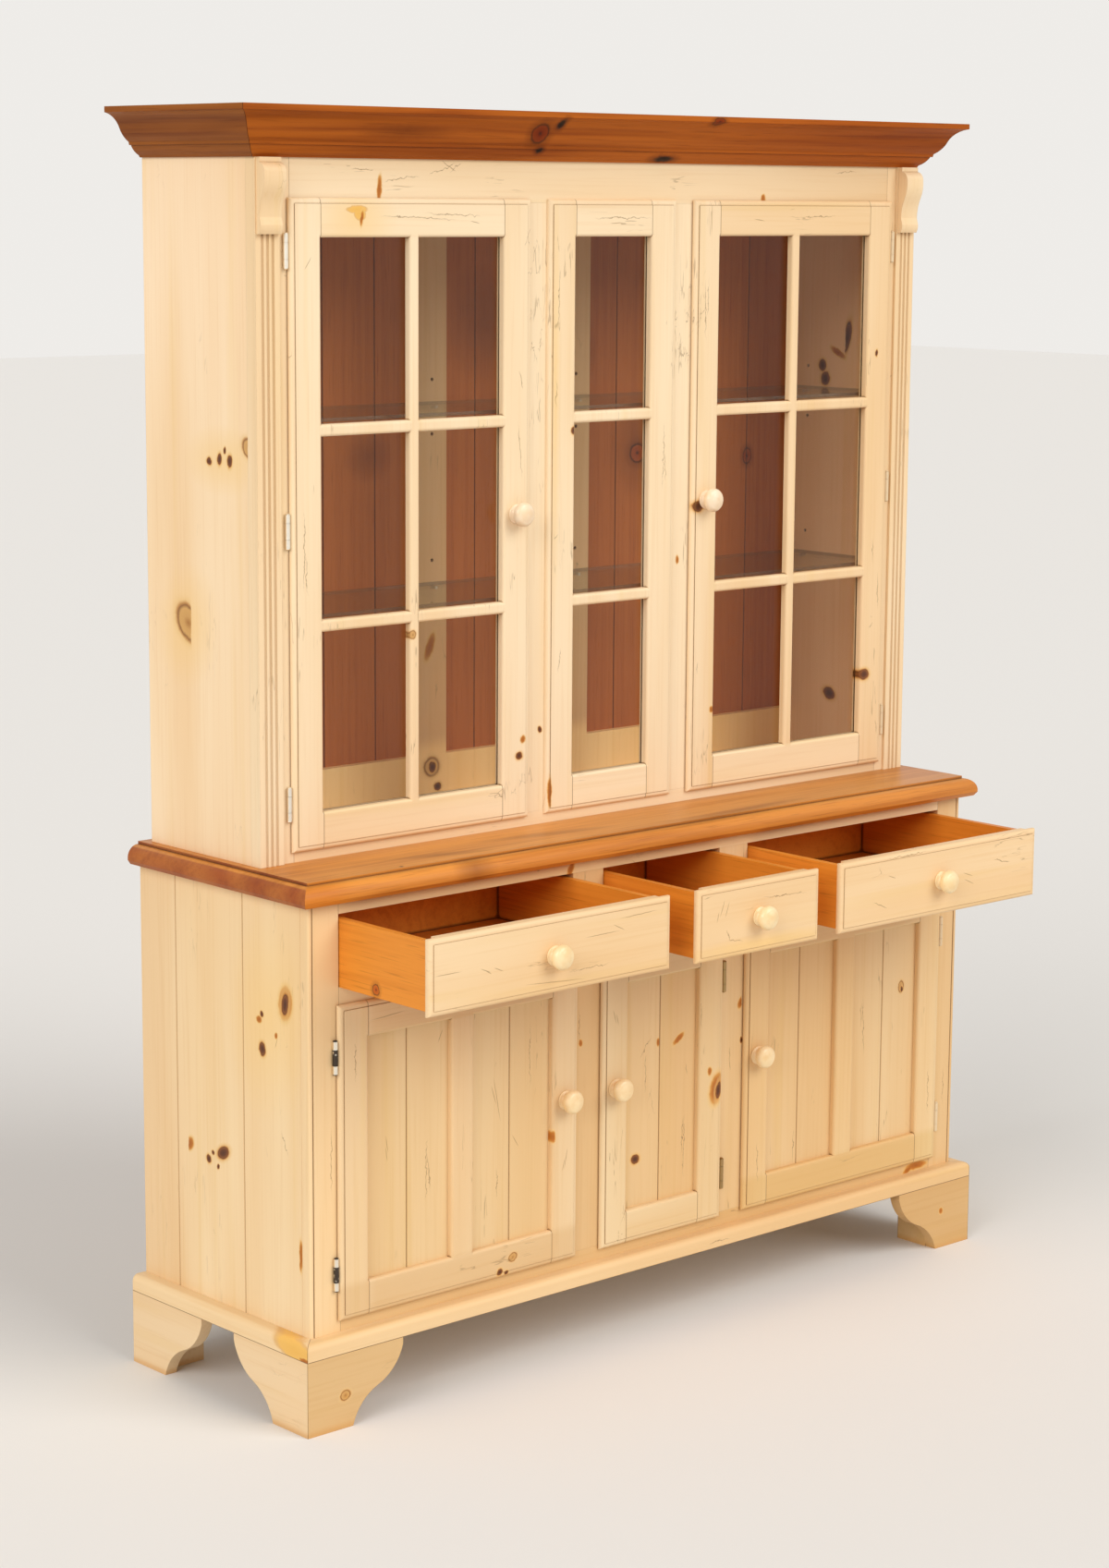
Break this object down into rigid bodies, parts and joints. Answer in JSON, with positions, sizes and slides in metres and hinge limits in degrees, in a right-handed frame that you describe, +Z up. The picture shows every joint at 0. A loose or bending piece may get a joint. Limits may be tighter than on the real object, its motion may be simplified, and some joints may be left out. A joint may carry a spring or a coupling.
{
  "type": "china cabinet",
  "caption": "Painted pine china cabinet: glazed hutch with a stained cornice over a lower case with drawers, panelled doors, a stained top and bracket feet.",
  "frame": {"origin": "on the floor, in the middle of the width and of the depth with the drawers drawn out as at rest", "axes": "+Z up, +X to the right seen from the front, +Y towards the wall behind"},
  "size_m": [1.6136, 0.705, 2.044],
  "materials": {
    "cream_paint": "antiqued cream paint, fine crackle, knots and grain showing through",
    "cream_knob": "turned wood, smooth cream paint",
    "stained_cornice": "satin honey-brown stained pine with knots",
    "stained_counter": "satin honey stained pine boards",
    "stained_back": "dark red-brown stained boards",
    "drawer_pine": "clear varnished orange pine",
    "bare_pine": "plain sanded pine",
    "glass": "clear polished",
    "hinge_steel": "plated"
  },
  "bodies": {
    "cabinet": {"back_feet": "cream_paint", "base_back_boards": "bare_pine", "base_floor": "bare_pine", "base_frame_rails": "cream_paint", "base_frame_stiles": "cream_paint", "base_partitions": "bare_pine", "base_shelves": "bare_pine", "base_side_left": "cream_paint", "base_side_right": "cream_paint", "centre_panel_frame": "cream_paint", "centre_panel_glass": "glass", "corbels": "cream_paint", "cornice": "stained_cornice", "countertop": "stained_counter", "door_catches": "hinge_steel", "drawer_runners": "bare_pine", "front_feet": "cream_paint", "glass_shelves": "glass", "hinge_frame_leaves": "hinge_steel", "hutch_back_boards": "stained_back", "hutch_back_frame": "cream_paint", "hutch_floor": "cream_paint", "hutch_frame_rails": "cream_paint", "hutch_frame_stiles": "cream_paint", "hutch_side_left": "cream_paint", "hutch_side_right": "cream_paint", "hutch_top": "bare_pine", "pilasters": "cream_paint", "plinth_moulding": "cream_paint", "shelf_pins": "hinge_steel"},
    "upper_left_door": {"upper_left_door_frame": "cream_paint", "upper_left_door_glass": "glass", "upper_left_door_hinge_leaves": "hinge_steel", "upper_left_door_knob": "cream_knob"},
    "upper_right_door": {"upper_right_door_frame": "cream_paint", "upper_right_door_glass": "glass", "upper_right_door_hinge_leaves": "hinge_steel", "upper_right_door_knob": "cream_knob"},
    "lower_left_door": {"lower_left_door_frame": "cream_paint", "lower_left_door_hinge_leaves": "hinge_steel", "lower_left_door_knob": "cream_knob", "lower_left_door_panels": "cream_paint"},
    "lower_middle_door": {"lower_middle_door_frame": "cream_paint", "lower_middle_door_hinge_leaves": "hinge_steel", "lower_middle_door_knob": "cream_knob", "lower_middle_door_panels": "cream_paint"},
    "lower_right_door": {"lower_right_door_frame": "cream_paint", "lower_right_door_hinge_leaves": "hinge_steel", "lower_right_door_knob": "cream_knob", "lower_right_door_panels": "cream_paint"},
    "left_drawer": {"left_drawer_box": "drawer_pine", "left_drawer_front": "cream_paint", "left_drawer_knob": "cream_knob"},
    "middle_drawer": {"middle_drawer_box": "drawer_pine", "middle_drawer_front": "cream_paint", "middle_drawer_knob": "cream_knob"},
    "right_drawer": {"right_drawer_box": "drawer_pine", "right_drawer_front": "cream_paint", "right_drawer_knob": "cream_knob"}
  },
  "joints": [
    {"name": "upper_left_door_swing", "type": "hinge", "parent": "cabinet", "child": "upper_left_door", "pos_m": [-0.6802, 0.0426, 1.4005], "axis": [0, 0, -1], "range_deg": [0, 100]},
    {"name": "upper_right_door_swing", "type": "hinge", "parent": "cabinet", "child": "upper_right_door", "pos_m": [0.6802, 0.0426, 1.4005], "axis": [0, 0, 1], "range_deg": [0, 100]},
    {"name": "lower_left_door_swing", "type": "hinge", "parent": "cabinet", "child": "lower_left_door", "pos_m": [-0.7017, -0.0964, 0.423], "axis": [0, 0, -1], "range_deg": [0, 100]},
    {"name": "lower_middle_door_swing", "type": "hinge", "parent": "cabinet", "child": "lower_middle_door", "pos_m": [0.1457, -0.0964, 0.423], "axis": [0, 0, 1], "range_deg": [0, 95]},
    {"name": "lower_right_door_swing", "type": "hinge", "parent": "cabinet", "child": "lower_right_door", "pos_m": [0.7017, -0.0964, 0.423], "axis": [0, 0, 1], "range_deg": [0, 100]},
    {"name": "left_drawer_slide", "type": "slide", "parent": "cabinet", "child": "left_drawer", "axis": [0, -1, 0], "range_m": [-0.216, 0.13]},
    {"name": "middle_drawer_slide", "type": "slide", "parent": "cabinet", "child": "middle_drawer", "axis": [0, -1, 0], "range_m": [-0.22, 0.13]},
    {"name": "right_drawer_slide", "type": "slide", "parent": "cabinet", "child": "right_drawer", "axis": [0, -1, 0], "range_m": [-0.216, 0.13]}
  ]
}
